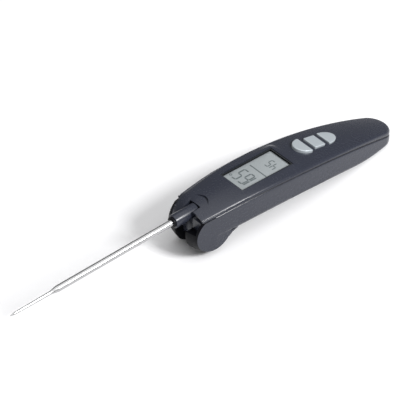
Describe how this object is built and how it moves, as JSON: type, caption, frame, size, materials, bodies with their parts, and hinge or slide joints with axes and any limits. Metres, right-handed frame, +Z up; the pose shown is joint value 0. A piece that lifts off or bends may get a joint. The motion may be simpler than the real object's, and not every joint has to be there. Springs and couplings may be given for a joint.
{
  "type": "meat thermometer",
  "caption": "Folding digital meat thermometer: a bowed black handle with a display and keys, and a stepped steel probe that folds under it.",
  "frame": {"origin": "bottom centre of the opened thermometer, on the plane that the tail rests on", "axes": "+X from the probe's point to the tail, +Z up through the display, +Y across the handle"},
  "size_m": [0.2612, 0.0302, 0.0301],
  "materials": {
    "black_shell": "glossy charcoal moulding with a blue cast",
    "silver_key": "light silver-grey satin key",
    "steel": "fine drawn stainless steel",
    "collar_black": "satin black",
    "clear_window": "clear polished window",
    "lcd_grey": "grey-green liquid crystal glass",
    "inner_plastic": "plain moulding",
    "seal_rubber": "black rubber",
    "board_green": "green solder mask",
    "cell_steel": "bright nickel plate",
    "contact_metal": "plated spring metal"
  },
  "bodies": {
    "handle": {"lower_housing": "black_shell", "top_cover": "black_shell", "housing_gasket": "seal_rubber", "housing_screws": "steel", "display_window": "clear_window", "lcd_panel": "lcd_grey", "lcd_holder": "inner_plastic", "lcd_connector_strips": "seal_rubber", "keypad_membrane": "seal_rubber", "tact_switches": "inner_plastic", "circuit_board": "board_green", "controller_chip": "inner_plastic", "crystal": "cell_steel", "battery_door": "black_shell", "battery_door_seal": "seal_rubber", "coin_cell": "cell_steel", "battery_carrier": "inner_plastic", "battery_minus_contact": "contact_metal", "battery_plus_contact": "contact_metal", "fold_axle": "steel", "pivot_washers": "inner_plastic", "pivot_seals": "seal_rubber", "detent_spring": "steel"},
    "arm": {"probe_arm": "black_shell", "probe_collar": "collar_black", "probe_tube": "steel", "probe_tip": "steel", "thermocouple_wires": "contact_metal", "thermocouple_bead": "contact_metal"},
    "front_button": {"front_button": "silver_key"},
    "middle_button": {"middle_button": "silver_key"},
    "rear_button": {"rear_button": "silver_key"}
  },
  "joints": [
    {"name": "probe_fold", "type": "hinge", "parent": "handle", "child": "arm", "pos_m": [-0.0044, 0, 0.01545], "axis": [0, -1, 0], "range_deg": [0, 180]},
    {"name": "front_button_press", "type": "slide", "parent": "handle", "child": "front_button", "axis": [-0.2198, 0, -0.9755], "range_m": [0, 0.0006], "stiffness_N_per_m": 1500},
    {"name": "middle_button_press", "type": "slide", "parent": "handle", "child": "middle_button", "axis": [-0.2198, 0, -0.9755], "range_m": [0, 0.0006], "stiffness_N_per_m": 1500},
    {"name": "rear_button_press", "type": "slide", "parent": "handle", "child": "rear_button", "axis": [-0.2198, 0, -0.9755], "range_m": [0, 0.0006], "stiffness_N_per_m": 1500}
  ]
}
